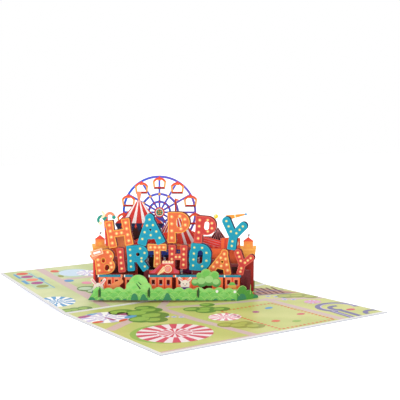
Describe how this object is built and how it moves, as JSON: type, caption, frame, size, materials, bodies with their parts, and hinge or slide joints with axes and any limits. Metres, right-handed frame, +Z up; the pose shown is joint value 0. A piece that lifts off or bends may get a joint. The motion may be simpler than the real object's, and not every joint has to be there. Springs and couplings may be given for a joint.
{
  "type": "pop up card",
  "caption": "Open birthday pop-up card: slotted paper lattice of a fairground scene with greeting letters and a wheel, standing across the fold of a two-leaf card",
  "frame": {"origin": "bottom centre of the open card's box, under the middle of the fold", "axes": "+X along the fold to the right, +Y towards the back leaf, +Z up"},
  "size_m": [0.2, 0.2996, 0.1047],
  "materials": {
    "cover_board": "matte",
    "printed_lawn": "satin",
    "rib_card": "matte",
    "green_card": "matte",
    "orange_card": "matte",
    "letter_card": "matte",
    "red_card": "matte",
    "striped_card": "matte",
    "blue_card": "matte",
    "cream_card": "matte",
    "yellow_card": "matte"
  },
  "bodies": {
    "root": {"cover": "cover_board", "front_lining": "printed_lawn", "back_lining": "printed_lawn", "rib_1": "rib_card", "rib_2": "rib_card", "rib_3": "rib_card", "rib_4": "rib_card", "hedge": "green_card", "bushes": "green_card", "stalls": "orange_card", "castle_facade": "orange_card", "greeting": "letter_card", "carousel": "red_card", "kiosk_roof": "red_card", "big_tent": "striped_card", "marquee": "striped_card", "ferris_wheel": "blue_card", "wheel_hub": "red_card", "ice_cream": "cream_card", "left_rabbit": "cream_card", "middle_rabbit": "cream_card", "ticket": "cream_card", "jester_staff": "orange_card", "party_horn": "orange_card", "balloon": "yellow_card"}
  },
  "joints": []
}
